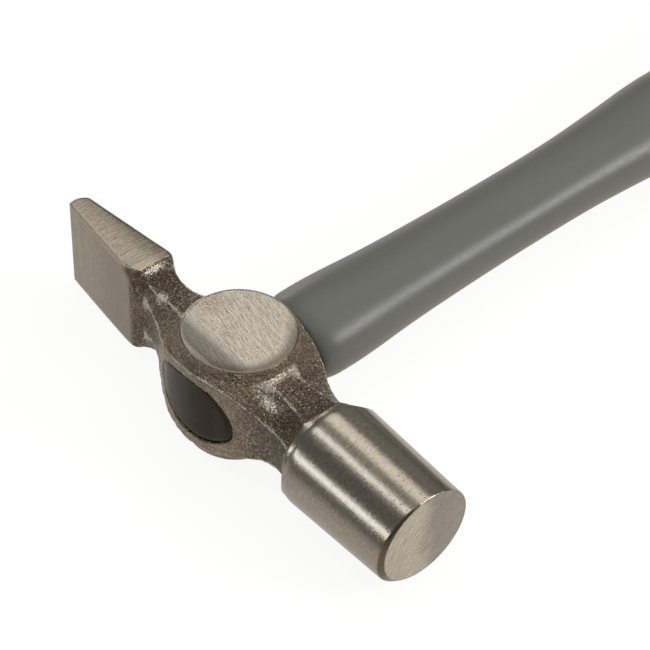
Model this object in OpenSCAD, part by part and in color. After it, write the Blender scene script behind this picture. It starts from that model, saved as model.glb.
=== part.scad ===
// Cross peen hammer with a bonded fibreglass handle.
// The hammer lies on one cheek: +X runs along the head towards the striking face,
// +Y runs along the handle away from the head, and +Z is the normal of the upper cheek.
// The origin is the centre of the lower cheek.

/* [Head] */
// Height of the boss across its two ground cheeks
boss_height = 25.6; // [25:0.1:28]
// Diameter of a ground cheek
cheek_d = 23; // [22:0.1:23.4]
// Diameter of the poll at its rear edge
poll_rear_d = 23; // [22.4:0.1:23.4]
// Diameter of the poll at its striking face
poll_face_d = 21.5; // [20:0.1:22.4]
// Distance from the eye's centre to the striking face
poll_reach = 53.1; // [48:0.1:60]
// Width of the chamfer round the striking face
face_chamfer = 0.7; // [0.5:0.1:2]
// Distance from the eye's centre to the peen's edge
peen_reach = 51.2; // [46:0.1:58]
// Width of the peen's edge
peen_width = 21.1; // [20.6:0.1:21.1]
// Thickness of the peen at its rounded edge
peen_tip = 4.8; // [3:0.1:6]
// Width of the eye, across the handle's wide way
eye_width = 21.4; // [21:0.1:22]
// Height of the eye, across the handle's narrow way
eye_height = 15.2; // [14:0.1:16]

/* [Handle] */
// Overall length of the handle behind the eye's centre
handle_length = 292; // [285:1:310]
// Diameter of the fibreglass core
core_d = 10.2; // [8:0.1:11]
// Depth of the resin in front of the core
resin_cap = 1.6; // [1:0.1:3]
// Where the jacket's shoulder begins, from the eye's centre
jacket_start = 13.4; // [13.4:0.1:15]
// Where the soft grip begins, from the eye's centre
grip_start = 130; // [126:1:136]
// Diameter of the hang hole
hang_hole_d = 9; // [6:0.1:10]
// Diameter of the jacket's eyelet round the hang hole
eyelet_d = 15; // [13:0.1:17]
// Distance from the hang hole to the end of the handle
hang_hole_inset = 13; // [11:0.1:15]

/* [Hidden] */

// Colours
FORGED_STEEL = [0.42, 0.39, 0.35];
DARK_RESIN = [0.13, 0.12, 0.10];
GLASS_FIBRE = [0.86, 0.83, 0.66];
GREY_JACKET = [0.42, 0.43, 0.41];
BLACK_GRIP = [0.12, 0.12, 0.13];

boss_half = boss_height / 2;
cheek_r = cheek_d / 2;
poll_rear_r = poll_rear_d / 2;
poll_face_r = poll_face_d / 2;
// The neck's eight flats flare steeply and run out in the poll at this distance
poll_rear_x = 27.3;
// The neck ends here, before its corners reach the poll's outline
neck_end_x = 24;
// The cheek stands on a slightly conical wall that sinks into the forging
cheek_wall_r = cheek_r + 0.7;
cheek_wall_z = 8;
// Half depth of the boss along the handle
boss_depth = 12.7;
collar_length = 3;
collar_half_x = 8.3;
collar_half_z = 6.5;
peen_base_x = -27.4;
peen_half_width = peen_width / 2;
peen_base_half = 5.2;
peen_tip_half = peen_tip / 2;
peen_nose_r = 1.15 * peen_tip_half;
hang_hole_y = handle_length - hang_hole_inset;
core_end_y = hang_hole_y - eyelet_d / 2 - 8;
jacket_end_y = handle_length - 6;
oval_sides = 32;
weld = 0.05;

// Stations of the forging between the peen and the poll. Each is an octagon given by
// [x, top height, half width of the top flat, side depth, half height of the side flat, its lift]
FORGING = [
    [peen_base_x, peen_half_width, peen_base_half - 0.1, peen_base_half, peen_half_width - 0.1, 0],
    [-26.1, 9.8, 3.7, 5.0, 7.0, 0],
    [-23.5, 9.0, 3.3, 5.2, 4.2, 0],
    [-20.1, 8.8, 3.0, 5.4, 3.6, -0.2],
    [-16.7, 8.8, 2.9, 6.8, 4.4, -0.5],
    [-12.2, 9.3, 3.9, 9.6, 6.8, -0.4],
    [-6.9, 10.2, 5.4, 11.9, 8.8, -0.2],
    [0, 10.6, 6.4, boss_depth, 9.8, 0],
    [6.9, 10.4, 5.4, 11.5, 9.2, 0.5],
    [10.8, 9.8, 3.9, 10.5, 8.1, 0.9],
    [14.2, 9.5, 2.7, 9.3, 6.9, 1.0],
    [16.7, 9.3, 2.4, 8.1, 5.7, 0.7],
    [18.6, 9.3, 2.7, 7.4, 5.2, 0.3],
    [21.1, 9.4, 3.3, 7.5, 4.6, 0.1],
    [23.6, 9.6, 4.0, 8.5, 4.2, 0],
    [25, 9.9, 4.2, 9.6, 4.2, 0],
    [poll_rear_x, 11.6, 4.8, 11.6, 4.8, 0]
];

// Stations of the jacket's oval: [y, half width along X, half thickness along Z]
JACKET = [
    [jacket_start, 8.5, 6.7],
    [jacket_start + 0.7, 9.5, 7.5],
    [jacket_start + 2.2, 10.2, 8.1],
    [jacket_start + 5, 10.6, 8.4],
    [26, 10.5, 8.4],
    [39, 9.7, 7.8],
    [55, 9.2, 7.4],
    [74, 9.0, 7.2],
    [92, 9.2, 7.4],
    [106, 10.0, 8.0],
    [122, 11.1, 8.9],
    [137, 10.8, 8.6],
    [196, 10.4, 8.2],
    [jacket_end_y - 6, 10, 7.4],
    [jacket_end_y, 8, 6]
];

// Stations of the soft grip's oval: [y, half width along X, half thickness along Z]
GRIP = [
    [grip_start, 12.0, 9.6],
    [grip_start + 1.5, 13.0, 10.6],
    [grip_start + 5, 13.4, 11.0],
    [157, 13.8, 11.4],
    [204, 15.2, boss_half],
    [248, 13.8, 11.6],
    [268, 14.6, 11.2],
    [hang_hole_y, 16.0, 11.0],
    [handle_length - 6, 15.4, 10.4],
    [handle_length - 2, 13.2, 8.8],
    [handle_length, 9.4, 6.2]
];

// A smooth curve through the stations: Catmull-Rom between rows i and i + 1
function clamp_row(rows, i) = rows[max(0, min(len(rows) - 1, i))];
function tangent(rows, i) =
    let (a = clamp_row(rows, i - 1), b = clamp_row(rows, i + 1))
    (b - a) / (b[0] - a[0]);
function between(rows, i, t) =
    let (a = rows[i], b = rows[i + 1], span = b[0] - a[0])
    a * (2 * t ^ 3 - 3 * t ^ 2 + 1) + tangent(rows, i) * span * (t ^ 3 - 2 * t ^ 2 + t)
    + b * (3 * t ^ 2 - 2 * t ^ 3) + tangent(rows, i + 1) * span * (t ^ 3 - t ^ 2);
function smooth_rows(rows, steps) = concat(
    [for (i = [0:len(rows) - 2]) for (k = [0:steps - 1]) between(rows, i, k / steps)],
    [rows[len(rows) - 1]]
);

// One ring of the forging, seen from +X, anticlockwise
function octagon_ring(s) =
    let (x = s[0], top = s[1], cut_y = s[2], side = s[3], high = s[5] + s[4], low = s[5] - s[4])
    [[x, side, high], [x, cut_y, top], [x, -cut_y, top], [x, -side, high],
     [x, -side, low], [x, -cut_y, -top], [x, cut_y, -top], [x, side, low]];

// One oval ring of the handle, seen from +Y, anticlockwise
function oval_ring(s) =
    [for (i = [0:oval_sides - 1]) let (a = 360 * i / oval_sides) [s[1] * sin(a), s[0], s[2] * cos(a)]];

// Closes a list of rings of equal length into one solid
module loft(rings) {
    n = len(rings[0]);
    last = len(rings) - 1;
    sides = [
        for (r = [0:last - 1]) for (i = [0:n - 1])
            let (a = r * n + i, b = r * n + (i + 1) % n)
            each [[a, a + n, b + n], [a, b + n, b]]
    ];
    caps = [[for (i = [0:n - 1]) i], [for (i = [n - 1:-1:0]) last * n + i]];
    polyhedron(points = [for (ring = rings) each ring], faces = concat(sides, caps));
}

module lift_to_cheek() {
    translate([0, 0, boss_half]) children();
}

module along_y() {
    rotate([-90, 0, 0]) children();
}

// The octagonal necks and the boss, from the peen's base to the poll's rear edge
module forging_body() {
    loft([for (s = smooth_rows(FORGING, 4)) octagon_ring(s)]);
}

module poll() {
    rotate([0, 90, 0]) {
        translate([0, 0, poll_rear_x])
            cylinder(h = poll_reach - face_chamfer - poll_rear_x, r1 = poll_rear_r, r2 = poll_face_r, $fn = 96);
        translate([0, 0, poll_reach - face_chamfer])
            cylinder(h = face_chamfer, r1 = poll_face_r, r2 = poll_face_r - face_chamfer, $fn = 96);
    }
}

// The flats of the flaring neck, cut to the poll's round outline
module poll_flats() {
    intersection() {
        forging_body();
        translate([neck_end_x, 0, 0])
            rotate([0, 90, 0])
                cylinder(h = poll_rear_x - neck_end_x, r = poll_rear_r, $fn = 96);
    }
}

// The forging up to the round part, without the corners of its flare
module necks_and_boss() {
    intersection() {
        forging_body();
        translate([-60, -20, -20])
            cube([60 + neck_end_x, 40, 40]);
    }
}

// One ground cheek on its conical wall
module cheek() {
    translate([0, 0, cheek_wall_z])
        cylinder(h = boss_half - cheek_wall_z, r1 = cheek_wall_r, r2 = cheek_r, $fn = 96);
}

// A wedge that tapers in thickness only, with a crowned nose
module peen() {
    nose_angle = asin(peen_tip_half / peen_nose_r);
    nose_x = peen_nose_r - peen_reach;
    translate([0, 0, -peen_half_width])
        linear_extrude(height = peen_width)
            polygon(concat(
                [[peen_base_x + weld, -peen_base_half], [peen_base_x + weld, peen_base_half]],
                [for (i = [8:-1:-8])
                    let (a = nose_angle * i / 8)
                    [nose_x - peen_nose_r * cos(a), peen_nose_r * sin(a)]]
            ));
}

module eye_outline() {
    polygon([for (a = [0:6:354]) [eye_width / 2 * cos(a), eye_height / 2 * sin(a)]]);
}

// The oval eye runs right through the boss, along the handle
module eye_passage() {
    translate([0, 20, 0])
        rotate([90, 0, 0])
            linear_extrude(height = 40)
                eye_outline();
}

module core_rod(from_y, to_y) {
    translate([0, from_y, 0])
        along_y()
            cylinder(h = to_y - from_y, d = core_d, $fn = 48);
}

module head() {
    color(FORGED_STEEL)
        lift_to_cheek()
            difference() {
                union() {
                    necks_and_boss();
                    poll_flats();
                    poll();
                    peen();
                    cheek();
                    mirror([0, 0, 1]) cheek();
                }
                eye_passage();
            }
}

// Resin fills the eye flush with the forging, and caps the core at the front
// The resin that squeezed out between the head and the jacket
module resin_collar() {
    translate([0, jacket_start, 0])
        rotate([90, 0, 0])
            linear_extrude(height = collar_length)
                polygon([for (a = [0:10:350]) [collar_half_x * cos(a), collar_half_z * sin(a)]]);
}

module eye_resin() {
    color(DARK_RESIN)
        lift_to_cheek()
            difference() {
                union() {
                    intersection() {
                        forging_body();
                        eye_passage();
                    }
                    resin_collar();
                }
                core_rod(resin_cap - boss_depth, 20);
            }
}

module fibreglass_core() {
    color(GLASS_FIBRE)
        lift_to_cheek()
            core_rod(resin_cap - boss_depth, core_end_y);
}

module hang_cylinder(d) {
    translate([0, hang_hole_y, -20])
        cylinder(h = 40, d = d, $fn = 64);
}

module grip_outside() {
    loft([for (s = smooth_rows(GRIP, 2)) oval_ring(s)]);
}

module jacket_outside() {
    loft([for (s = smooth_rows(JACKET, 2)) oval_ring(s)]);
}

// The jacket sheathes the core, and its eyelet comes out through the grip
module shaft_jacket() {
    color(GREY_JACKET)
        lift_to_cheek()
            difference() {
                union() {
                    jacket_outside();
                    intersection() {
                        grip_outside();
                        hang_cylinder(eyelet_d);
                    }
                }
                core_rod(0, core_end_y);
                hang_cylinder(hang_hole_d);
            }
}

module grip_sleeve() {
    color(BLACK_GRIP)
        lift_to_cheek()
            difference() {
                grip_outside();
                jacket_outside();
                hang_cylinder(eyelet_d);
            }
}

head();
eye_resin();
fibreglass_core();
shaft_jacket();
grip_sleeve();
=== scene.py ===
import math

import bpy
import numpy as np
from mathutils import Matrix, Vector


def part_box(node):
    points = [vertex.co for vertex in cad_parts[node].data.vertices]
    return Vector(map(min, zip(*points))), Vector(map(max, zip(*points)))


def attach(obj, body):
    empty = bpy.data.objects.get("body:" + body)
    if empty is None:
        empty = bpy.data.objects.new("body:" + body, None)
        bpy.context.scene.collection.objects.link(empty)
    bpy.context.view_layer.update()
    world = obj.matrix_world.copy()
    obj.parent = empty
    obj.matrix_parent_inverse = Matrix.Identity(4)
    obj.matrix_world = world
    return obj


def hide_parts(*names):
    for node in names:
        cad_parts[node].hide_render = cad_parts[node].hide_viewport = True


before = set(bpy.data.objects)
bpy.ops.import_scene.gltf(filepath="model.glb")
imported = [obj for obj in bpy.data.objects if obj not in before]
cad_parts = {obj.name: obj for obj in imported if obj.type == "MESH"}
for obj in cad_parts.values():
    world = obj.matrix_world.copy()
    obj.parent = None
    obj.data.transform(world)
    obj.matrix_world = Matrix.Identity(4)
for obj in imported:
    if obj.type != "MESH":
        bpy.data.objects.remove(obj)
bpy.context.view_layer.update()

MM = 0.001

# ---------------------------------------------------------------- sizes from the frame, in millimetres

HEAD_LOW, HEAD_HIGH = (np.array(corner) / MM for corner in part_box("head"))
GRIP_LOW, GRIP_HIGH = (np.array(corner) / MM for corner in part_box("grip_sleeve"))
HALF = (HEAD_HIGH[2] - HEAD_LOW[2]) / 2      # from the head's axis to a cheek
REACH = HEAD_HIGH[0]                         # to the striking face
PEEN_REACH = -HEAD_LOW[0]                    # to the peen's edge
BOSS_DEPTH = -HEAD_LOW[1]                    # half depth of the boss, along the handle
HANDLE_END = GRIP_HIGH[1]
GRIP_START = GRIP_LOW[1]
JACKET_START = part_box("shaft_jacket")[0][1] / MM
CORE_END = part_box("fibreglass_core")[1][1] / MM
CORE_START = 1.6 - BOSS_DEPTH                # the resin caps the core this side of the eye's mouth
CORE_R = 5.1

# ---------------------------------------------------------------- head, in millimetres from its centre

CHEEK_R = 11.5
LOWER_CHEEK_R = 11.0
CHEEK_LEAN = 0.14                            # how far the cheek's wall spreads per millimetre down
CHEEK_ROOT = 8.0                             # height where the wall has sunk into the forging
CHEEK_CREASE_Y = -5.2                        # the two passes of the grinder meet here
CHEEK_CREASE_TILT = 0.092
CHEEK_CREASE_SOFT = 1.5                      # half the width over which one pass runs into the other
CHEEK_SAG = 0.46                             # the far pass lies this much lower
POLL_REAR_X = 26.6
POLL_REAR_R = 11.62
POLL_REAR_ROUND = 0.3                        # how much the barrel draws in where it meets the neck
POLL_REAR_RUN = 2.0
POLL_DRIFT = 0.17                            # the barrel's centre drifts to -Y and down by its face
POLL_FACE_R = 10.75
FACE_BEVEL = 0.62
FACE_BEVEL_SHIFT = 0.22                      # the bevel round the face is wider at the bottom
FACE_CROWN = 0.25
FACE_ZONE = REACH - 1.3                      # all that lies past this is the face and its bevel
PEEN_TOP_END = -26.1                         # the ground top and bottom of the peen end here
PEEN_SIDE_END = -27.9                        # and its ground sides here
PEEN_HALF_WIDTH = 10.7
PEEN_CROWN_Y = -1.5                          # the grinder left the top a little round, highest here
PEEN_CROWN_R = (110, 58)                     # towards -Y and towards +Y
PEEN_TAPER = 0.125
PEEN_TIP_Y = -0.8
PEEN_TIP_R = 3.2
EYE_RX = 10.7
EYE_RZ = 7.6
NECK_END = 24.6                              # the poll's grinding starts here
TIP_START = -30.5                            # and past here all of the peen is ground


def wedge_half(x):
    """Half thickness of the peen's wedge."""
    return 5.14 + PEEN_TAPER * (x - PEEN_SIDE_END)


def wedge_row(x, cut_y, cut_z, lift=0, drift=0):
    """A station on the peen, where the octagon is a rectangle with its corners cut a little."""
    side = wedge_half(x)
    return (x, PEEN_HALF_WIDTH, side - cut_y, side, PEEN_HALF_WIDTH - cut_z, lift, drift)


# Octagonal stations along the head:
# x, top height, half width of the top flat, side depth, half height of the side flat, its lift,
# and how far the upper corner facets have drifted towards +Y
FORGING = [
    wedge_row(-54, 0.15, 0.15),
    wedge_row(-40, 0.15, 0.15),
    wedge_row(-31.8, 0.2, 0.3),
    wedge_row(-29.8, 0.3, 0.5, -0.1, 0.2),
    wedge_row(-27.9, 0.5, 1.0, -0.3, 0.4),
    (-26.9, 10.65, 4.3, 5.15, 9.2, -0.6, 0.5),
    (-26.2, 10.55, 4.0, 4.85, 8.8, -0.9, 0.6),
    (-25.3, 10.0, 3.6, 4.45, 7.2, -1.1, 0.5),
    (-24.4, 9.5, 3.4, 4.45, 5.3, -0.5, 0.1),
    (-23, 9.0, 3.2, 4.8, 4.1, 0, -0.3),
    (-20.1, 8.6, 3.0, 5.4, 3.6, -0.2, -0.6),
    (-16.7, 8.7, 2.9, 6.8, 4.3, -0.5, -0.5),
    (-12.2, 9.3, 3.9, 9.6, 6.8, -0.4, -0.2),
    (-6.9, 10.2, 5.4, 11.9, 8.8, -0.2, 0),
    (0, 10.6, 6.4, BOSS_DEPTH, 9.8, 0, 0),
    (6.9, 10.4, 5.4, 11.5, 9.2, 0.5, 0),
    (10.8, 9.9, 3.9, 10.5, 8.1, 0.9, -0.2),
    (14.2, 9.75, 2.9, 9.35, 6.6, 1.0, -0.3),
    (16.7, 9.6, 2.9, 8.3, 5.3, 0.7, -0.2),
    (18.6, 9.55, 3.1, 7.8, 4.8, 0.4, -0.2),
    (21.1, 9.5, 3.4, 7.7, 4.45, 0.2, -0.3),
    (22.7, 9.5, 3.7, 8.0, 4.3, 0, -0.3),
    (23.5, 9.55, 3.9, 8.2, 4.2, 0, -0.5),
    (23.7, 9.65, 3.9, 8.35, 4.2, 0, -0.6),
    (25.7, 11.5, 4.5, 11.2, 4.5, 0, -1.3),
    (26.6, 12.0, 4.6, 11.9, 4.6, -0.1, -1.4),
    (28.2, 12.6, 5.1, 12.6, 5.1, -0.1, -1.0),
    (31, 15, 6.2, 15, 6.2, 0, 0),
]


def along(stations, x):
    """Every column of the stations at x, on a Catmull-Rom curve through them."""
    rows = np.array(stations, float)
    knots, values = rows[:, 0], rows[:, 1:]
    before = np.r_[0, np.arange(len(rows) - 1)]
    after = np.r_[np.arange(1, len(rows)), len(rows) - 1]
    slopes = (values[after] - values[before]) / (knots[after] - knots[before])[:, None]
    i = np.clip(np.searchsorted(knots, x) - 1, 0, len(rows) - 2)
    span = knots[i + 1] - knots[i]
    t = np.clip((x - knots[i]) / span, 0, 1)[..., None]
    span = span[..., None]
    curve = (
        values[i] * (2 * t**3 - 3 * t**2 + 1)
        + slopes[i] * span * (t**3 - 2 * t**2 + t)
        + values[i + 1] * (3 * t**2 - 2 * t**3)
        + slopes[i + 1] * span * (t**3 - t**2)
    )
    return np.moveaxis(curve, -1, 0)


def smooth_max(a, b, radius):
    """The larger of two distances, with the edge between them rounded."""
    near = np.maximum(radius - np.abs(a - b), 0) / radius
    return np.maximum(a, b) + near**2 * radius / 4


def smooth_min(a, b, radius):
    """The smaller of two distances, with a fillet between them."""
    return -smooth_max(-a, -b, radius)


def step(low, high, value):
    """Smooth step from 0 at low to 1 at high."""
    t = np.clip((value - low) / (high - low), 0, 1)
    return t * t * (3 - 2 * t)


def peen_height(x, y, z):
    """Height off the head's axis, plus what the grinder took off the peen's crowned top."""
    off = y - PEEN_CROWN_Y
    crown = off**2 / (2 * np.where(off < 0, *PEEN_CROWN_R))
    return np.abs(z) + crown * step(PEEN_TOP_END + 1.6, PEEN_TOP_END - 1, x)


def forging_planes(x, y, z):
    """Distances to the forging's sides, its top or bottom and its corner facets, negative inside."""
    top, cut_y, side, cut_z, lift, drift = along(FORGING, x)
    depth, height = np.abs(y), peen_height(x, y, z)
    corner = cut_z + lift * np.sign(z)
    run, rise = side - cut_y, top - corner
    facet_depth = np.abs(y - drift * (z > 0))
    facet = ((facet_depth - side) * rise + (height - corner) * run) / np.hypot(run, rise)
    return depth - side, height - top, facet


def forging_field(x, y, z):
    """Distance to the octagonal forging, negative inside."""
    side, top, facet = forging_planes(x, y, z)
    edge = 0.3 + step(-26, -28, x) * (0.6 * step(0, 3, y) - 0.12)
    return smooth_max(smooth_max(side, top, edge), facet, edge)


def poll_run(x):
    """How far along the poll x is: 0 at the neck, 1 at the face."""
    return np.clip((x - POLL_REAR_X) / (REACH - POLL_REAR_X), 0, 1)


def poll_side(x, y, z):
    """Distance to the poll's faintly tapered barrel, drawn in at the neck."""
    run = poll_run(x)
    draw = np.clip(1 - (x - POLL_REAR_X + 0.7) / POLL_REAR_RUN, 0, 1) ** 2
    radius = POLL_REAR_R + (POLL_FACE_R - POLL_REAR_R) * run - POLL_REAR_ROUND * draw
    return np.hypot(y + POLL_DRIFT * run, z + POLL_DRIFT * run) - radius


def face_plane(x, y, z):
    """Distance past the crowned striking face."""
    return x - REACH + FACE_CROWN * (np.hypot(y, z) / POLL_FACE_R) ** 2


def poll_field(x, y, z):
    """Distance to the poll's round outline, its bevel and its crowned face."""
    shifted = np.hypot(y - FACE_BEVEL_SHIFT, z - FACE_BEVEL_SHIFT)
    bevel = (shifted - POLL_FACE_R + FACE_BEVEL + x - REACH + FACE_CROWN) / math.sqrt(2)
    return smooth_max(smooth_max(poll_side(x, y, z), bevel, 0.2), face_plane(x, y, z), 0.15)


def nose_field(x, y):
    """Distance to the peen's crowned tip."""
    off = y - PEEN_TIP_Y
    return (-PEEN_REACH - x + off**2 / (2 * PEEN_TIP_R)) / np.hypot(1, off / PEEN_TIP_R)


def cheek_plane(y, z):
    """Height above the cheek's ground surface, which two passes left with a faint crease."""
    past = CHEEK_CREASE_Y - y
    rise = (past + np.hypot(past, CHEEK_CREASE_SOFT)) / 2 * CHEEK_CREASE_TILT
    return np.abs(z) - HALF + CHEEK_SAG - np.minimum(rise, CHEEK_SAG)


def cheek_field(x, y, z):
    """Distance to the two ground cheeks and their walls."""
    height = np.abs(z)
    radius = np.where(z > 0, CHEEK_R, LOWER_CHEEK_R)
    wall = np.hypot(x, y) - radius - CHEEK_LEAN * np.minimum(HALF - height, HALF - CHEEK_ROOT)
    sink = 0.3 * np.maximum(CHEEK_ROOT - height, 0)
    return smooth_max(wall + sink, cheek_plane(y, z), 0.5)


def eye_field(x, z):
    """Distance to the wall of the slightly uneven oval eye, negative inside the hole."""
    turn = np.arctan2(z, x)
    uneven = 0.1 * np.sin(3 * turn + 1) + 0.07 * np.sin(7 * turn)
    return (np.hypot(x / EYE_RX, z / EYE_RZ) - 1) * EYE_RZ + uneven


def solid_field(x, y, z):
    """Distance to the head before the eye is cut."""
    body = smooth_min(forging_field(x, y, z), cheek_field(x, y, z), 1.2)
    body = np.where(x > 22, smooth_max(body, poll_field(x, y, z), 0.1), body)
    return smooth_max(body, nose_field(x, y), 0.5)


def head_field(x, y, z):
    """Distance to the whole head, negative inside."""
    return smooth_max(solid_field(x, y, z), -eye_field(x, z), 0.4)


def peen_gaps(x, y, z):
    """How far a point lies from the ground top or bottom of the peen, and from its ground sides."""
    return np.abs(peen_height(x, y, z) - PEEN_HALF_WIDTH), np.abs(np.abs(y) - wedge_half(x))


def ground_gap(x, y, z):
    """How far a point lies from the nearest ground surface: poll, cheeks or peen."""
    top, side = peen_gaps(x, y, z)
    gaps = (
        np.abs(poll_side(x, y, z)) + 2 * np.maximum(NECK_END - x, 0),
        np.abs(face_plane(x, y, z)),
        np.abs(cheek_plane(y, z)) + np.maximum(np.hypot(x, y) - CHEEK_R, 0),
        top + np.maximum(x - PEEN_TOP_END, 0),
        side + np.maximum(x - PEEN_SIDE_END, 0),
        0.15 * np.maximum(x - TIP_START, 0),
    )
    return np.minimum.reduce(gaps)


# Places where the raw skin was rubbed bright, their glint partly painted: centre and radii, the same on
# both faces of the head
RUBBED_AND_GLINTING = [
    ((-25.4, -0.5, 10.1), (0.9, 3.6, 0.8)),
    ((12.6, -1.2, 9.7), (1.0, 3.2, 0.9)),
    ((14.6, -5.4, 8.2), (3.6, 1.6, 1.7)),
    ((-19.3, -3.2, 8.0), (1.8, 1.3, 1.3)),
    ((-23.2, -4.5, 4.5), (1.0, 0.6, 2.5)),
    ((3.4, -10.4, 8.6), (4.6, 1.1, 1.1)),
]


def rubbed_and_glint(x, y, z):
    """How bright the skin was rubbed, with its painted glint, from 0 to 2: above 1 inside a rubbed place.
    """
    spots = []
    for centre, radii in RUBBED_AND_GLINTING:
        away = [(a - b) / r for a, b, r in zip((x, y, np.abs(z)), centre, radii)]
        spots.append(1 - np.sqrt(away[0] ** 2 + away[1] ** 2 + away[2] ** 2))
    return np.clip(np.maximum.reduce(spots), -1, 1) + 1


def rim_shade(x, y):
    """The upper cheek is darker along its rim towards the striking face, from 0 to 1."""
    return step(8.2, 10.9, np.hypot(x, y)) * step(-3, 6, x - 0.4 * y)


def straw_tint(x, y):
    """The upper cheek is straw-coloured by its edge towards the peen, from 0 to 1."""
    return step(1, 0, np.hypot(x + 9.5, y - 0.5) / 5)


def peen_edge(x, y, z):
    """How near a point is to one of the peen's long edges, from 0 to 1."""
    top, side = peen_gaps(x, y, z)
    return step(1.0, 0.35, np.maximum(top, side)) * step(-26.5, -28, x)


def ridge_gap(x, y, z):
    """How far a point of the forging lies from the nearest ridge between two of its facets."""
    _, second, nearest = np.sort(np.stack(forging_planes(x, y, z)), axis=0)
    outside = 3 * np.maximum(nearest - 0.2, 0)
    past_necks = 3 * np.maximum(np.abs(x) - 24.5, 0)
    return nearest - second + outside + past_necks


def oval_field(stations, x, y, z):
    """Distance to the skin of a handle part with oval stations, negative inside."""
    half_x, half_z = along(stations, y)
    ratio = np.hypot(x / half_x, z / half_z)
    slope = np.hypot(x / half_x**2, z / half_z**2)
    ends = np.maximum(stations[0][0] - y, y - stations[-1][0])
    return smooth_max((ratio - 1) * ratio / np.maximum(slope, 1e-3), ends, 0.3)


# ---------------------------------------------------------------- meshes

def value_noise(points, size, seed):
    """Smooth noise from 0 to 1 at the points, with lumps of the given size."""
    lattice = np.random.default_rng(seed).random((64, 64, 64))
    skew = np.array(((0.8, 0.36, -0.48), (-0.6, 0.48, -0.64), (0, 0.8, 0.6)))
    place = points @ skew / size + 1000
    cell = np.floor(place).astype(int)
    t = place - cell
    t = t * t * (3 - 2 * t)
    total = np.zeros(len(points))
    for dx in (0, 1):
        for dy in (0, 1):
            for dz in (0, 1):
                weight = np.abs(1 - dx - t[:, 0]) * np.abs(1 - dy - t[:, 1]) * np.abs(1 - dz - t[:, 2])
                i = (cell + (dx, dy, dz)) % 64
                total += weight * lattice[i[:, 0], i[:, 1], i[:, 2]]
    return total


def gradient(field, points):
    """Unit normals of a field at the points."""
    tiny = 0.02
    parts = []
    for axis in np.eye(3) * tiny:
        parts.append(field(*(points + axis).T) - field(*(points - axis).T))
    normals = np.stack(parts, -1)
    return normals / np.maximum(np.linalg.norm(normals, axis=1, keepdims=True), 1e-9)


def crossings(field, values, axes, axis, pitch):
    """Where the surface crosses the grid's edges along one axis."""
    before = [slice(None)] * 3
    after = [slice(None)] * 3
    before[axis], after[axis] = slice(None, -1), slice(1, None)
    low, high = values[tuple(before)], values[tuple(after)]
    cells = np.argwhere((low < 0) != (high < 0))
    a, b = low[tuple(cells.T)], high[tuple(cells.T)]
    base = np.stack([axes[k][cells[:, k]] for k in range(3)], -1)
    near, far = np.zeros(len(cells)), np.ones(len(cells))
    a_end, b_end = a.copy(), b.copy()
    for _ in range(5):
        t = near + (far - near) * np.clip(a_end / (a_end - b_end), 0.02, 0.98)
        points = base.copy()
        points[:, axis] += t * pitch
        value = field(*points.T)
        inside = (value < 0) == (a < 0)
        near, a_end = np.where(inside, t, near), np.where(inside, value, a_end)
        far, b_end = np.where(inside, far, t), np.where(inside, b_end, value)
    return cells, points, a < 0


def contour(field, low, high, pitch, margin=1.5):
    """Dual contouring: one vertex for each cell that the surface passes through, set on its creases."""
    axes = [np.arange(a - margin, b + margin + pitch, pitch) for a, b in zip(low, high)]
    counts = [len(a) for a in axes]
    grid = np.meshgrid(*axes, indexing="ij", sparse=True)
    values = np.broadcast_to(field(*grid), counts)
    owners, normals, points, quads = [], [], [], []
    for axis in range(3):
        u, v = (axis + 1) % 3, (axis + 2) % 3
        cells, hits, rising = crossings(field, values, axes, axis, pitch)
        facing = gradient(field, hits)
        ring = []
        for du, dv in ((-1, -1), (0, -1), (0, 0), (-1, 0)):
            around = cells.copy()
            around[:, u] += du
            around[:, v] += dv
            ring.append(np.ravel_multi_index(around.T, counts))
            owners.append(ring[-1])
            normals.append(facing)
            points.append(hits)
        ring = np.stack(ring, -1)
        quads.append(np.where(rising[:, None], ring, ring[:, ::-1]))
    owners, normals, points = np.concatenate(owners), np.concatenate(normals), np.concatenate(points)
    names, index = np.unique(owners, return_inverse=True)
    count = np.bincount(index)[:, None]
    centre = np.stack([np.bincount(index, points[:, k]) for k in range(3)], -1) / count
    offset = np.einsum("ij,ij->i", normals, points - centre[index])
    pull = np.zeros((len(names), 3, 3))
    push = np.zeros((len(names), 3))
    for j in range(3):
        push[:, j] = np.bincount(index, normals[:, j] * offset)
        for k in range(3):
            pull[:, j, k] = np.bincount(index, normals[:, j] * normals[:, k])
    pull += np.eye(3) * 0.04
    shift = np.linalg.solve(pull, push[..., None])[..., 0]
    vertices = centre + np.clip(shift, -0.7 * pitch, 0.7 * pitch)
    return vertices, np.searchsorted(names, np.concatenate(quads))


def add_mesh(name, vertices, faces, material, node):
    """A smooth mesh piece from millimetres round the head's axis, kept inside the node it stands for."""
    mesh = bpy.data.meshes.new(name)
    placed = np.clip((vertices + (0, 0, HALF)) * MM, *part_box(node))
    mesh.from_pydata(placed.tolist(), [], faces.tolist())
    mesh.update()
    mesh.polygons.foreach_set("use_smooth", [True] * len(mesh.polygons))
    mesh.materials.append(material)
    piece = bpy.data.objects.new(name, mesh)
    bpy.context.scene.collection.objects.link(piece)
    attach(piece, "root")
    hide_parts(node)
    return piece


def add_attribute(piece, name, values):
    """Stores one number for each vertex, for the material to read."""
    layer = piece.data.attributes.new(name, "FLOAT", "POINT")
    layer.data.foreach_set("value", np.asarray(values, np.float32))


# ---------------------------------------------------------------- materials

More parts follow.
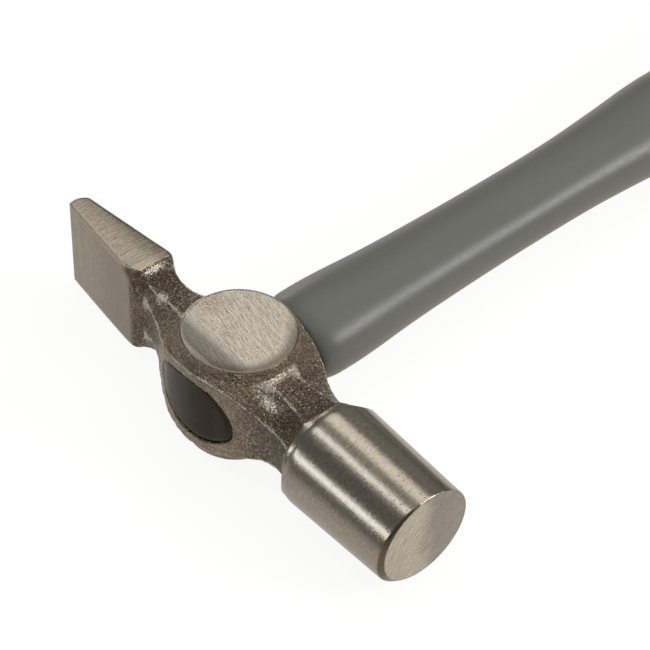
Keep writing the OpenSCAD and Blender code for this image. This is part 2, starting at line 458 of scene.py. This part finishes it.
class Nodes:
    """A short way to write a node tree."""

    def __init__(self, name):
        self.material = bpy.data.materials.new(name)
        self.material.use_nodes = True
        self.tree = self.material.node_tree
        self.shader = self.tree.nodes["Principled BSDF"]

    def set(self, **values):
        for key, value in values.items():
            self.shader.inputs[key.replace("_", " ")].default_value = value

    def add(self, kind, links=None, **settings):
        node = self.tree.nodes.new(kind)
        for key, value in settings.items():
            setattr(node, key, value)
        for key, value in (links or {}).items():
            self.feed(node.inputs[key], value)
        return node

    def feed(self, socket, value):
        if isinstance(value, bpy.types.NodeSocket):
            self.tree.links.new(value, socket)
        else:
            socket.default_value = value

    def to_shader(self, key, value):
        self.feed(self.shader.inputs[key], value)

    def position(self, scale, turn=0, axis="Z_AXIS"):
        """The piece's own coordinates in millimetres, turned about an axis, times a scale for each axis."""
        place = self.add("ShaderNodeTexCoord").outputs["Object"]
        links = {"Vector": place, "Angle": math.radians(turn)}
        place = self.add("ShaderNodeVectorRotate", links, rotation_type=axis).outputs[0]
        links = {0: place, 1: [s / MM for s in scale]}
        return self.add("ShaderNodeVectorMath", links, operation="MULTIPLY").outputs[0]

    def attribute(self, name):
        return self.add("ShaderNodeAttribute", attribute_name=name).outputs["Fac"]

    def coordinate(self, axis):
        """One of the piece's own coordinates in millimetres."""
        split = self.add("ShaderNodeSeparateXYZ", {0: self.position((1, 1, 1))})
        return split.outputs[axis]

    def noise(self, vector, scale=1.0, detail=2.0, roughness=0.5):
        links = {"Vector": vector, "Scale": scale, "Detail": detail, "Roughness": roughness}
        return self.add("ShaderNodeTexNoise", links).outputs["Fac"]

    def voronoi(self, vector, scale=1.0):
        return self.add("ShaderNodeTexVoronoi", {"Vector": vector, "Scale": scale}).outputs["Distance"]

    def math(self, operation, a, b=0.0):
        return self.add("ShaderNodeMath", {0: a, 1: b}, operation=operation).outputs[0]

    def times(self, a, b):
        return self.math("MULTIPLY", a, b)

    def plus(self, a, b):
        return self.math("ADD", a, b)

    def absolute(self, value):
        return self.math("ABSOLUTE", value)

    def above(self, value, limit):
        return self.math("GREATER_THAN", value, limit)

    def below(self, value, limit):
        return self.math("LESS_THAN", value, limit)

    def span(self, value, low, high, to_low=0.0, to_high=1.0):
        """Runs smoothly from to_low to to_high as the value goes from low to high."""
        links = {"Value": value, "From Min": low, "From Max": high, "To Min": to_low, "To Max": to_high}
        return self.add("ShaderNodeMapRange", links, interpolation_type="SMOOTHSTEP").outputs["Result"]

    def mix(self, factor, a, b):
        """Colour a where the factor is 0 and b where it is 1."""
        node = self.add("ShaderNodeMix", data_type="RGBA")
        self.feed(node.inputs["Factor"], factor)
        self.feed(node.inputs[6], a)
        self.feed(node.inputs[7], b)
        return node.outputs[2]

    def blend(self, factor, a, b):
        """Number a where the factor is 0 and b where it is 1."""
        node = self.add("ShaderNodeMix", data_type="FLOAT")
        self.feed(node.inputs["Factor"], factor)
        self.feed(node.inputs[2], a)
        self.feed(node.inputs[3], b)
        return node.outputs[0]

    def bump(self, height, distance, strength=1.0, normal=None):
        links = {"Height": height, "Distance": distance * MM, "Strength": strength}
        if normal is not None:
            links["Normal"] = normal
        return self.add("ShaderNodeBump", links).outputs["Normal"]


def rgb(*linear):
    return (*linear, 1.0)


def ground_steel(n):
    """Where the grinder reached: its lines, clouds, pits and tints, and in places painted highlight and
    shade. Gives colour, roughness and relief.
    """
    x, y, z = n.coordinate("X"), n.coordinate("Y"), n.coordinate("Z")
    on_cheek = n.below(n.absolute(x), 15.0)
    on_face = n.above(x, REACH - 0.5)
    on_peen = n.below(x, -20.0)
    second_pass = n.times(on_cheek, n.span(y, CHEEK_CREASE_Y + 1.4, CHEEK_CREASE_Y - 1.8))

    # The lines run round the poll and the peen, slantwise over the cheeks, and across the face
    round_lines = n.noise(n.position((4.6, 0.9, 0.9)), 1, 4, 0.65)
    cheek_lines = n.noise(n.position((0.5, 3.9, 0.5), 14), 1, 4, 0.65)
    face_lines = n.noise(n.position((0.4, 0.35, 2.6), -45, "X_AXIS"), 1, 4, 0.65)
    peen_lines = n.noise(n.position((2.8, 0.22, 0.3)), 1, 4, 0.65)
    lines = n.blend(on_peen, n.blend(on_face, round_lines, face_lines), peen_lines)
    lines = n.blend(on_cheek, lines, cheek_lines)
    clouds = n.noise(n.position((0.09, 0.09, 0.09)), 1, 3)
    mottle = n.noise(n.position((2.3, 2.3, 2.3)), 1, 4, 0.65)
    pits = n.span(n.voronoi(n.position((1, 1, 1)), 1.1), 0.2, 0.08)
    pits = n.times(pits, n.span(clouds, 0.45, 0.56))
    colour = n.mix(n.span(lines, 0.3, 0.7), rgb(0.35, 0.317, 0.27), rgb(0.48, 0.443, 0.386))
    colour = n.mix(n.span(clouds, 0.42, 0.7, 0, 0.35), colour, rgb(0.36, 0.30, 0.225))

    # The peen is browner, and its sides darken towards the neck: that darkening is painted shade.
    peen_tone = n.mix(n.span(lines, 0.35, 0.65), rgb(0.24, 0.198, 0.15), rgb(0.37, 0.308, 0.238))
    peen_tint = n.times(on_peen, n.span(mottle, 0.3, 0.7, 0.25, 0.75))
    colour = n.mix(peen_tint, colour, peen_tone)
    wedge_side = n.times(on_peen, n.below(z, 22.3))
    peen_neck_shade = n.times(wedge_side, n.span(x, -46.0, -32.0, 0.0, 0.5))
    colour = n.mix(peen_neck_shade, colour, rgb(0.2, 0.162, 0.118))

    # The cheeks are paler, with a grey second pass, a shaded rim and a straw-coloured edge. Their paler
    # tone is partly painted highlight, lifting their reflection of the lamp above; the grey of the second
    # pass is partly painted shade, deepening the darker reflection its tilt gives.
    cheek_tone_and_sheen = n.mix(n.span(lines, 0.36, 0.64), rgb(0.48, 0.437, 0.377), rgb(0.74, 0.688, 0.608))
    colour = n.mix(n.times(on_cheek, 0.65), colour, cheek_tone_and_sheen)
    # Painted shade in part: the second pass is greyed darker than its grind alone would show.
    colour = n.mix(n.times(second_pass, 0.78), colour, rgb(0.30, 0.29, 0.265))
    rim = n.times(n.attribute("rim_shade"), n.times(on_cheek, 0.9))
    colour = n.mix(rim, colour, rgb(0.17, 0.147, 0.12))
    straw = n.times(n.attribute("straw_tint"), n.span(mottle, 0.4, 0.6))
    colour = n.mix(n.times(straw, on_cheek), colour, rgb(0.36, 0.275, 0.18))

    # The striking face is paler towards -Y, a painted reflection: that side mirrors the floor lit clear of
    # the hammer, the +Y side the floor in its shadow. Its bevel is dark.
    face_painted_light = n.span(n.plus(y, n.span(clouds, 0.3, 0.7, -2.0, 2.0)), 4.0, -3.0)
    face_grain = n.plus(n.times(lines, 0.6), n.times(mottle, 0.4))
    face_dark = n.mix(face_painted_light, rgb(0.27, 0.25, 0.215), rgb(0.55, 0.51, 0.43))
    face_light = n.mix(face_painted_light, rgb(0.4, 0.372, 0.322), rgb(0.82, 0.765, 0.655))
    face_tone = n.mix(n.span(face_grain, 0.38, 0.62), face_dark, face_light)
    colour = n.mix(n.times(on_face, 0.8), colour, face_tone)
    colour = n.mix(n.times(pits, 0.6), colour, rgb(0.12, 0.10, 0.08))
    bevel = n.times(n.span(n.attribute("ground_gap"), 0.03, 0.14), n.above(x, FACE_ZONE))
    colour = n.mix(n.times(bevel, 0.85), colour, rgb(0.12, 0.095, 0.07))

    # The peen's long edges are rubbed pale and dull; the pale is partly painted highlight, standing in for
    # the bright line along them.
    long_edge = n.attribute("peen_edge")
    colour = n.mix(n.times(long_edge, 0.7), colour, rgb(0.62, 0.56, 0.47))
    roughness = n.blend(long_edge, n.span(lines, 0.3, 0.7, 0.17, 0.25), 0.42)

    line_depth = n.blend(on_peen, n.blend(on_face, 0.5, 3.5), 1.6)
    line_depth = n.blend(on_cheek, line_depth, n.blend(second_pass, 2.4, 0.6))
    relief = n.math("SUBTRACT", n.plus(n.times(lines, line_depth), mottle), pits)
    return colour, roughness, relief


def raw_skin(n):
    """The forging's own skin: cobbled, with crooked folds, and bright where it is worn, that brightness
    partly painted glint. Its colour also carries painted shade in its hollows and along the necks, and
    painted glints in scattered specks.

    Gives colour, roughness and relief.
    """
    x = n.coordinate("X")
    everywhere = n.position((1, 1, 1))
    cobbles = n.span(n.voronoi(everywhere, 1.3), 0.0, 0.75, 1.0, 0.0)
    grain = n.noise(everywhere, 2.1, 4, 0.65)
    wander = n.noise(n.position((0.7, 0.5, 0.5)), 1, 2, 0.5)
    folds = n.span(n.absolute(n.math("SUBTRACT", wander, 0.5)), 0.0, 0.05, 1.0, 0.0)
    stains = n.noise(n.position((0.16, 0.16, 0.16)), 1, 4, 0.6)
    relief = n.plus(n.times(grain, 0.9), n.times(cobbles, 0.35))
    relief = n.plus(relief, n.times(folds, 0.25))

    # Worn bright along its ridges and where it was rubbed, both with ragged edges; the brightness is partly
    # painted highlight for the glints there.
    ragged = n.span(grain, 0.3, 0.7, -0.12, 0.12)
    broken = n.plus(ragged, n.span(stains, 0.4, 0.6, -0.12, 0.13))
    edge_wear_and_glint = n.span(n.plus(n.attribute("ridge_gap"), broken), 0.27, 0.1)
    patch_wear_and_glint = n.span(n.plus(n.attribute("rubbed_and_glint"), n.times(ragged, 4.0)), 0.9, 1.6)
    wear_and_glint = n.math("MAXIMUM", edge_wear_and_glint, patch_wear_and_glint)

    # Painted shade and highlight: the colour follows the relief, dark in the hollows and pale on the
    # crests.
    colour = n.mix(n.span(relief, 0.5, 0.95), rgb(0.1, 0.07, 0.045), rgb(0.48, 0.39, 0.29))
    on_boss = n.span(n.absolute(x), 15.5, 10.5)
    colour = n.mix(n.times(on_boss, 0.38), colour, rgb(0.5, 0.41, 0.31))
    # Painted shade: the skin darkens along the necks, most of all by the poll.
    along_head = n.plus(n.absolute(x), n.span(stains, 0.35, 0.65, -1.2, 1.2))
    colour = n.mix(n.span(along_head, 14.5, 18.5, 0.0, 0.35), colour, rgb(0.1, 0.073, 0.05))
    poll_neck_shade = n.times(n.span(along_head, 18.5, 21.5, 0.0, 0.6), n.above(x, 0.0))
    colour = n.mix(poll_neck_shade, colour, rgb(0.08, 0.058, 0.04))
    colour = n.mix(n.span(stains, 0.45, 0.7, 0, 0.5), colour, rgb(0.2, 0.135, 0.085))
    # Painted glints: scattered pale specks standing in for sparkle.
    painted_glints = n.span(n.noise(everywhere, 2.9, 2, 0.5), 0.58, 0.68, 0.0, 0.7)
    colour = n.mix(painted_glints, colour, rgb(0.8, 0.69, 0.53))
    # Worn places are paler: partly bare rubbed metal, partly painted highlight.
    colour = n.mix(n.times(wear_and_glint, 0.85), colour, rgb(0.78, 0.73, 0.65))
    roughness = n.blend(wear_and_glint, n.span(grain, 0.35, 0.65, 0.2, 0.36), 0.27)

    smooth_zone = n.span(n.noise(n.position((0.12, 0.12, 0.12)), 1, 2), 0.45, 0.6)
    depth = n.times(n.blend(smooth_zone, 1.0, 0.65), n.blend(patch_wear_and_glint, 1.0, 0.6))
    return colour, roughness, n.times(relief, depth)


def head_steel():
    """Ground steel where the grinder reached, and raw forged skin between, under a thin lacquer."""
    n = Nodes("head_steel")
    lumps = n.noise(n.position((1, 1, 1)), 1.1, 3)
    gap = n.plus(n.attribute("ground_gap"), n.span(lumps, 0.35, 0.65, -0.07, 0.07))
    raw = n.times(n.span(gap, 0.15, 0.26), n.below(n.coordinate("X"), FACE_ZONE))
    ground_colour, ground_rough, ground_relief = ground_steel(n)
    raw_colour, raw_rough, raw_relief = raw_skin(n)

    n.to_shader("Base Color", n.mix(raw, ground_colour, raw_colour))
    n.to_shader("Roughness", n.blend(raw, ground_rough, raw_rough))
    n.to_shader("Metallic", n.blend(raw, 1.0, 0.92))
    fine = n.bump(n.blend(raw, ground_relief, 0.5), 0.022)
    skin = n.bump(n.times(raw_relief, raw), 0.72, 1.0, fine)
    n.to_shader("Normal", skin)
    n.to_shader("Coat Normal", skin)
    n.to_shader("Coat Weight", n.blend(raw, 0.15, 0.6))
    n.set(Anisotropic=0.4, Coat_Roughness=0.12)
    grind_direction = {"X": 1.0, "Y": 0.03, "Z": 0.05}
    n.to_shader("Tangent", n.add("ShaderNodeCombineXYZ", grind_direction).outputs[0])
    return n.material


def dark_resin():
    """Poured epoxy: nearly black, glossy, with faint clouds."""
    n = Nodes("dark_resin")
    clouds = n.noise(n.position((0.25, 0.25, 0.25)), 1, 4)
    dark, pale = rgb(0.016, 0.011, 0.006), rgb(0.028, 0.02, 0.011)
    n.to_shader("Base Color", n.mix(n.span(clouds, 0.35, 0.7), dark, pale))
    n.to_shader("Roughness", n.span(clouds, 0.3, 0.7, 0.16, 0.3))
    n.to_shader("Normal", n.bump(n.noise(n.position((0.5, 0.5, 0.5)), 1, 3), 0.1, 0.5))
    n.set(IOR=1.45, Specular_IOR_Level=0.22, Specular_Tint=rgb(1, 0.9, 0.78))
    return n.material


def grey_jacket():
    """Moulded polypropylene: satin mid grey with a fine grain and faint flow marks along the shaft."""
    n = Nodes("grey_jacket")
    grain = n.noise(n.position((1, 1, 1)), 2.2, 3, 0.6)
    flow = n.noise(n.position((0.25, 0.02, 0.25)), 1, 3)
    dark, pale = rgb(0.165, 0.172, 0.158), rgb(0.18, 0.186, 0.17)
    n.to_shader("Base Color", n.mix(n.span(flow, 0.3, 0.7), dark, pale))
    n.to_shader("Roughness", n.span(grain, 0.3, 0.7, 0.31, 0.39))
    n.to_shader("Normal", n.bump(grain, 0.05, 0.5))
    n.set(IOR=1.49)
    return n.material


def black_grip():
    """Soft moulded rubber: matt black with a fine pebble and slightly greyed patches."""
    n = Nodes("black_grip")
    pebble = n.voronoi(n.position((1, 1, 1)), 1.8)
    dust = n.noise(n.position((0.12, 0.12, 0.12)), 1, 4, 0.6)
    dark, pale = rgb(0.022, 0.022, 0.023), rgb(0.042, 0.041, 0.04)
    n.to_shader("Base Color", n.mix(n.span(dust, 0.4, 0.75), dark, pale))
    n.to_shader("Roughness", n.span(dust, 0.3, 0.7, 0.5, 0.66))
    n.to_shader("Normal", n.bump(pebble, 0.05, 0.5))
    n.set(IOR=1.5)
    return n.material


def glass_fibre():
    """Pultruded rod: straw-coloured resin with bright glass strands along it."""
    n = Nodes("glass_fibre")
    strands = n.noise(n.position((3, 0.03, 3)), 1, 3, 0.6)
    dark, pale = rgb(0.55, 0.5, 0.3), rgb(0.78, 0.74, 0.55)
    n.to_shader("Base Color", n.mix(n.span(strands, 0.35, 0.65), dark, pale))
    n.to_shader("Roughness", n.span(strands, 0.3, 0.7, 0.3, 0.5))
    n.to_shader("Normal", n.bump(strands, 0.04, 0.5))
    return n.material


def pale_floor():
    """Plain white to the camera. Reflections see a painted pool of light instead: it glows dimmer, and
    darkens in front of the head.
    """
    n = Nodes("pale_floor")
    seen = n.add("ShaderNodeLightPath").outputs["Is Camera Ray"]
    y = n.coordinate("Y")
    # Painted light: to reflections the floor glows brightest round the head and towards +Y, fading away in
    # front.
    reflected_glow = n.plus(n.span(y, -100.0, -15.0, 0.14, 0.58), n.span(y, -5.0, 20.0, 0.0, 0.1))
    n.to_shader("Base Color", n.mix(seen, rgb(0.06, 0.06, 0.057), rgb(0.18, 0.18, 0.18)))
    n.to_shader("Emission Strength", n.blend(seen, reflected_glow, 0.9))
    n.to_shader("Emission Color", n.mix(seen, rgb(1, 0.945, 0.87), rgb(1, 1, 1)))
    n.set(Roughness=0.9, Specular_IOR_Level=0.1)
    return n.material


# ---------------------------------------------------------------- pieces

# Lumps of the raw skin: their size and height, and the mean height, which is taken off again
LUMPS = ((4.5, 0.14), (1.9, 0.1), (0.75, 0.15))
MEAN_LUMP = 0.16


def make_head(material):
    """The forging, with real relief in its raw skin."""
    low, high = (-PEEN_REACH, -BOSS_DEPTH, -HALF), (REACH, BOSS_DEPTH, HALF)
    vertices, faces = contour(head_field, low, high, 0.34)
    x, y, z = vertices.T
    gap = ground_gap(x, y, z)
    relief = -MEAN_LUMP
    for seed, (size, height) in enumerate(LUMPS, 1):
        relief += height * value_noise(vertices, size, seed)
    sunk = step(0.1, 0.5, gap) * relief
    moved = vertices - gradient(head_field, vertices) * sunk[:, None]
    piece = add_mesh("head_forging", moved, faces, material, "head")
    add_attribute(piece, "ground_gap", gap)
    add_attribute(piece, "ridge_gap", ridge_gap(x, y, z))
    add_attribute(piece, "rubbed_and_glint", rubbed_and_glint(x, y, z))
    add_attribute(piece, "rim_shade", rim_shade(x, y))
    add_attribute(piece, "straw_tint", straw_tint(x, y))
    add_attribute(piece, "peen_edge", peen_edge(x, y, z))


COLLAR_RX = 8.3
COLLAR_RZ = 6.5
COLLAR_HALF = 1.5


def resin_field(x, y, z):
    """Resin fills the eye round the core, sunk a little, and stands out behind as a collar."""
    eye = eye_field(x, z)
    sunk = solid_field(x, y, z) + 0.15 + 0.3 * step(-1.3, 0, eye) * step(-4, 9, x - z)
    fill = smooth_max(sunk, eye + 0.02, 0.1)
    collar = (np.hypot(x / COLLAR_RX, z / COLLAR_RZ) - 1) * COLLAR_RZ
    collar = np.maximum(collar, np.abs(y - JACKET_START + COLLAR_HALF) - COLLAR_HALF)
    core = np.maximum(np.hypot(x, z) - CORE_R, CORE_START - y)
    return np.maximum(np.minimum(fill, collar), -core)


def make_resin(material):
    low, high = (-EYE_RX, -BOSS_DEPTH, -EYE_RZ), (EYE_RX, JACKET_START, EYE_RZ)
    vertices, faces = contour(resin_field, low, high, 0.4, margin=1)
    add_mesh("eye_resin_fill", vertices, faces, material, "eye_resin")


HANG_HOLE_Y = HANDLE_END - 13
HANG_HOLE_R = 4.5
EYELET_R = 7.5
EYELET_END = HANDLE_END - 5
JACKET_REACH = 11.2                          # half its greatest width, and a little more
RIB_PITCH = 5.2
RIB_DEPTH = 0.9

# Stations of the jacket and the grip: y, half width along X, half height
JACKET = [
    (JACKET_START, 8.5, 6.7),
    (JACKET_START + 0.7, 9.5, 7.5),
    (JACKET_START + 2.2, 10.2, 8.1),
    (JACKET_START + 5, 10.6, 8.4),
    (26, 10.5, 8.4),
    (39, 9.7, 7.8),
    (55, 9.2, 7.4),
    (74, 9.0, 7.2),
    (92, 9.2, 7.4),
    (106, 10.0, 8.0),
    (122, 11.1, 8.9),
    (137, 10.8, 8.6),
    (196, 10.4, 8.2),
    (HANDLE_END - 12, 10, 7.4),
    (HANDLE_END - 6, 8, 6),
]

GRIP = [
    (GRIP_START, 12.0, 9.6),
    (GRIP_START + 1.5, 13.0, 10.6),
    (GRIP_START + 5, 13.4, 11.0),
    (157, 13.8, 11.4),
    (204, 15.2, HALF),
    (248, 13.8, 11.6),
    (268, 14.6, 11.2),
    (HANG_HOLE_Y, 16.0, 11.0),
    (HANDLE_END - 6, 15.4, 10.4),
    (HANDLE_END - 2, 13.2, 8.8),
    (HANDLE_END, 9.4, 6.2),
]


def hang_column(x, y, radius):
    """Distance to an upright round column at the hang hole."""
    return np.hypot(x, y - HANG_HOLE_Y) - radius


def jacket_field(x, y, z):
    """The grey jacket: an oval tube on the core, with an eyelet through the butt."""
    eyelet = np.maximum(hang_column(x, y, EYELET_R), oval_field(GRIP, x, y, z) + 0.1)
    outside = np.minimum(oval_field(JACKET, x, y, z), eyelet)
    core = np.maximum(np.hypot(x, z) - CORE_R, y - CORE_END)
    return np.maximum(smooth_max(outside, -hang_column(x, y, HANG_HOLE_R), 0.8), -core)


def make_jacket(material):
    low = (-JACKET_REACH, JACKET_START, -JACKET_REACH)
    high = (JACKET_REACH, EYELET_END, JACKET_REACH)
    vertices, faces = contour(jacket_field, low, high, 0.62)
    add_mesh("jacket_tube", vertices, faces, material, "shaft_jacket")


def grip_field(x, y, z):
    """The grip sleeve: ribbed across its narrow sides, moulded round the jacket and its eyelet."""
    groove = 0.5 - 0.5 * np.cos(2 * math.pi * y / RIB_PITCH)
    groove = np.clip((groove - 0.35) / 0.65, 0, 1) ** 2
    zone = step(GRIP_START + 14, GRIP_START + 19, y) * step(HANDLE_END - 38, HANDLE_END - 43, y)
    flank = 0.2 + 0.8 * step(0.45, 0.85, np.abs(x) / np.hypot(x, z + 1e-6))
    outside = oval_field(GRIP, x, y, z) + RIB_DEPTH * groove * zone * flank
    eyelet = hang_column(x, y, EYELET_R)
    return np.maximum(smooth_max(outside, -eyelet, 0.6), -oval_field(JACKET, x, y, z))


def make_grip(material):
    low, high = (GRIP_LOW[0], GRIP_START, -HALF), (GRIP_HIGH[0], HANDLE_END, HALF)
    vertices, faces = contour(grip_field, low, high, 0.6)
    add_mesh("grip_body", vertices, faces, material, "grip_sleeve")


# ---------------------------------------------------------------- stage

CAMERA_TURNS = (46.77, 45.35, 2.52)          # azimuth, elevation and roll in degrees
CAMERA_PLACE = (232.35, -196.05, 335.0)      # in millimetres
LENS = 126.1
HEAD_CENTRE = Vector((0, 0, HALF * MM))
FLOOR_HALF = 12                              # in metres


def make_camera():
    """The camera looks down at the head from its eye and striking-face side."""
    azimuth, elevation, roll = (math.radians(turn) for turn in CAMERA_TURNS)
    back = Vector((
        math.sin(azimuth) * math.cos(elevation),
        -math.cos(azimuth) * math.cos(elevation),
        math.sin(elevation),
    ))
    level = Vector((math.cos(azimuth), math.sin(azimuth), 0))
    rise = back.cross(level)
    right = level * math.cos(roll) + rise * math.sin(roll)
    up = rise * math.cos(roll) - level * math.sin(roll)
    data = bpy.data.cameras.new("camera")
    data.sensor_width = 36
    data.lens = LENS
    data.clip_start, data.clip_end = 0.01, 50
    camera = bpy.data.objects.new("camera", data)
    camera.matrix_world = Matrix((right, up, back)).transposed().to_4x4()
    camera.location = Vector(CAMERA_PLACE) * MM
    bpy.context.scene.collection.objects.link(camera)
    bpy.context.scene.camera = camera


def area_light(name, width, height, radiance, colour):
    """A rectangular light whose power grows with its area, so that its brightness stays the same."""
    data = bpy.data.lights.new(name, "AREA")
    data.shape = "RECTANGLE"
    data.size, data.size_y = width, height
    data.energy = radiance * math.pi * width * height
    data.color = colour
    light = bpy.data.objects.new(name, data)
    bpy.context.scene.collection.objects.link(light)
    return light


def add_softbox(name, aim, width, height, radiance, colour, distance=1.5):
    """A light in the direction aim from the head, facing it, its width level."""
    light = area_light(name, width, height, radiance, colour)
    direction = Vector(aim).normalized()
    light.rotation_mode = "QUATERNION"
    light.rotation_quaternion = direction.to_track_quat("Z", "Y")
    light.location = direction * distance + HEAD_CENTRE


def add_strip(name, angle, shift, length, height, radiance, colour, distance=1.3):
    """A long light parallel to the head, at an angle from the handle's direction up and over the head."""
    light = area_light(name, length, height, radiance, colour)
    turn = math.radians(angle)
    along_x = Vector((1, 0, 0))
    outward = Vector((0, math.cos(turn), math.sin(turn)))
    light.matrix_world = Matrix((along_x, outward.cross(along_x), outward)).transposed().to_4x4()
    light.location = outward * distance + along_x * shift + HEAD_CENTRE


def make_floor():
    mesh = bpy.data.meshes.new("floor")
    corners = [(FLOOR_HALF * i, FLOOR_HALF * j, 0) for i, j in ((-1, -1), (1, -1), (1, 1), (-1, 1))]
    mesh.from_pydata(corners, [], [(0, 1, 2, 3)])
    mesh.materials.append(pale_floor())
    floor = bpy.data.objects.new("floor", mesh)
    bpy.context.scene.collection.objects.link(floor)


def make_world():
    """A dim studio, which the camera sees as white beyond the floor."""
    world = bpy.data.worlds.new("studio")
    world.use_nodes = True
    tree = world.node_tree
    background = tree.nodes["Background"]
    seen = tree.nodes.new("ShaderNodeLightPath").outputs["Is Camera Ray"]
    shade = tree.nodes.new("ShaderNodeMix")
    shade.data_type = "FLOAT"
    tree.links.new(seen, shade.inputs["Factor"])
    shade.inputs[2].default_value = 0.17
    shade.inputs[3].default_value = 1.0
    tree.links.new(shade.outputs[0], background.inputs["Strength"])
    background.inputs["Color"].default_value = rgb(1, 0.97, 0.9)
    bpy.context.scene.world = world
    bpy.context.scene.view_settings.view_transform = "Standard"


def make_lights():
    warm, white, cool = (1, 0.955, 0.89), (1, 0.985, 0.96), (0.98, 1, 1)
    add_strip("low_strip", 165, -0.5, 1.6, 0.3, 2.3, cool)
    add_strip("front_strip", 104, -0.5, 1.4, 0.24, 1.75, cool)
    add_strip("top_strip", 64.8, -0.2, 1.9, 0.54, 1.27, warm)
    add_strip("side_strip", 36, -0.2, 2.2, 1.2, 0.1, white, 1.6)
    add_strip("fill_strip", 96, -0.2, 2.2, 1.3, 0.22, white, 1.6)
    add_softbox("left_box", (-0.93, 0.35, 0.08), 0.5, 0.5, 2.4, white)
    add_softbox("right_box", (0.7, 0.525, 0.475), 0.5, 0.42, 12, white)


# ---------------------------------------------------------------- build

make_camera()
make_floor()
make_world()
make_lights()
make_head(head_steel())
make_resin(dark_resin())
make_jacket(grey_jacket())
make_grip(black_grip())
core_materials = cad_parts["fibreglass_core"].data.materials
core_materials.clear()
core_materials.append(glass_fibre())
